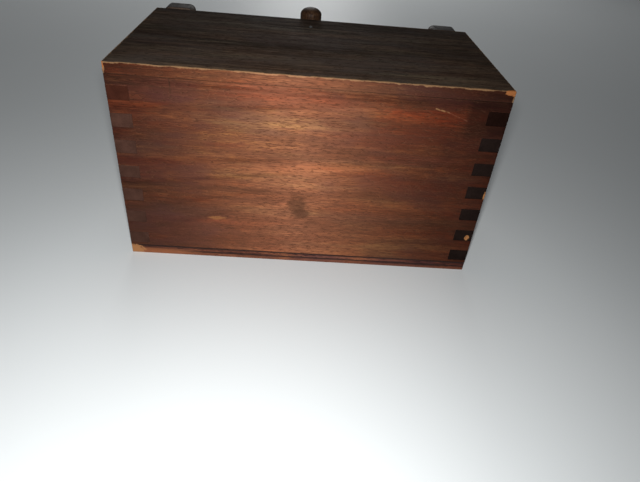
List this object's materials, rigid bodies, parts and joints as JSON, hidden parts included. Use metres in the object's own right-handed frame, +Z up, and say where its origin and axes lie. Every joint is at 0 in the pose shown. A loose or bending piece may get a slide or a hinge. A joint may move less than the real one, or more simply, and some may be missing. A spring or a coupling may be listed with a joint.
{
  "type": "espresso knock box",
  "caption": "Finger-jointed wooden espresso knock box with a hinged lid, a rubber-sleeved knock bar and a front drawer that carries a steel grounds bin.",
  "frame": {"origin": "middle of the case's flat underside, on the surface that it stands on", "axes": "+X along the case's width, +Y towards the front with the drawer, +Z up"},
  "size_m": [0.276, 0.1817, 0.1641],
  "materials": {
    "stained_wood": "satin stain, red-brown",
    "dark_lid_wood": "satin stain, very dark brown, worn along the edges",
    "dark_frame_wood": "satin stain, very dark brown",
    "knob_wood": "gloss varnish",
    "plywood": "stained plywood",
    "pale_wood": "bare wood",
    "fastener_steel": "zinc plated",
    "hinge_brass": "satin",
    "rod_steel": "polished",
    "bin_steel": "brushed",
    "rubber": "matt",
    "black_plastic": "matt"
  },
  "bodies": {
    "case": {"bottom_panel": "plywood", "back_board": "stained_wood", "left_side_board": "stained_wood", "right_side_board": "stained_wood", "front_apron": "stained_wood", "left_drawer_guide": "stained_wood", "right_drawer_guide": "stained_wood", "left_stile": "dark_frame_wood", "right_stile": "dark_frame_wood", "top_rail": "dark_frame_wood", "bottom_nail_1": "fastener_steel", "bottom_nail_2": "fastener_steel", "bottom_nail_3": "fastener_steel", "bottom_nail_4": "fastener_steel", "bottom_nail_5": "fastener_steel", "bottom_nail_6": "fastener_steel", "bottom_nail_7": "fastener_steel", "bottom_nail_8": "fastener_steel", "hinge_barrel_box_left": "hinge_brass", "hinge_barrel_box_right": "hinge_brass", "bar_socket_back": "black_plastic", "bar_socket_front": "black_plastic", "bar_socket_screw_back_left": "fastener_steel", "bar_socket_screw_back_right": "fastener_steel", "bar_socket_screw_front_left": "fastener_steel", "bar_socket_screw_front_right": "fastener_steel"},
    "lid": {"lid": "dark_lid_wood", "lid_tongue": "dark_lid_wood", "lid_tongue_pin": "fastener_steel", "lid_knob": "knob_wood", "lid_knob_screw": "fastener_steel", "hinge_barrel_lid_left": "hinge_brass", "hinge_barrel_lid_right": "hinge_brass"},
    "drawer": {"drawer_front": "dark_frame_wood", "drawer_left_side": "pale_wood", "drawer_right_side": "pale_wood", "drawer_back": "pale_wood", "drawer_bottom": "pale_wood", "drawer_dowel_1": "pale_wood", "drawer_dowel_2": "pale_wood", "drawer_dowel_3": "pale_wood", "drawer_dowel_4": "pale_wood", "drawer_knob": "knob_wood", "drawer_knob_screw": "fastener_steel", "grounds_bin": "bin_steel"},
    "knock_bar": {"bar_rod": "rod_steel", "bar_sleeve": "rubber"}
  },
  "joints": [
    {"name": "lid_hinge", "type": "hinge", "parent": "case", "child": "lid", "pos_m": [0, -0.075, 0.148], "axis": [1, 0, 0], "range_deg": [0, 95]},
    {"name": "drawer_slide", "type": "slide", "parent": "case", "child": "drawer", "axis": [0, 1, 0], "range_m": [0, 0.11]},
    {"name": "bar_spin", "type": "hinge", "parent": "case", "child": "knock_bar", "pos_m": [0, 0, 0.119], "axis": [0, 1, 0], "continuous": true}
  ]
}
